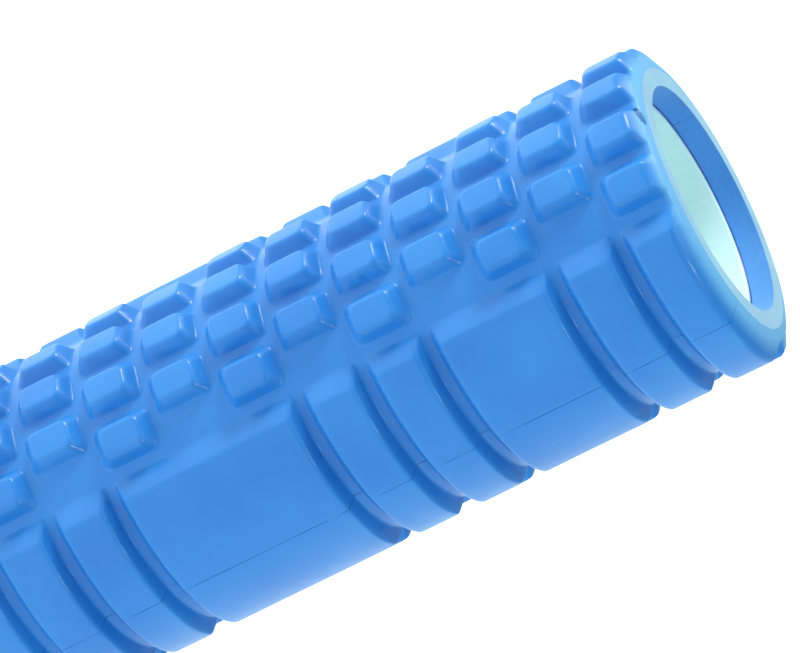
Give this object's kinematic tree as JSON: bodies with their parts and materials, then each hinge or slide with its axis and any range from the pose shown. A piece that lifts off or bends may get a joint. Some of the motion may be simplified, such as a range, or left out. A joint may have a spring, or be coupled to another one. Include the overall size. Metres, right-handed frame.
{
  "type": "foam massage roller",
  "caption": "Hollow massage roller: a moulded foam sleeve with bands, plates and small blocks, glued in two halves around a rigid tube.",
  "frame": {"origin": "centre of the lower end face, on the roller's own axis", "axes": "+Z along the axis to the upper end; the two glued seams lie at +Y and -Y, the zones of small blocks face +X and -X"},
  "size_m": [0.143, 0.143, 0.447],
  "materials": {
    "foam": "matte moulded EVA foam skin",
    "core_plastic": "satin white extruded plastic",
    "glue": "dull contact cement"
  },
  "bodies": {
    "root": {"core_tube": "core_plastic", "core_glue": "glue", "foam_shell_left": "foam", "foam_shell_right": "foam", "seam_glue_back": "glue", "seam_glue_front": "glue"}
  },
  "joints": []
}
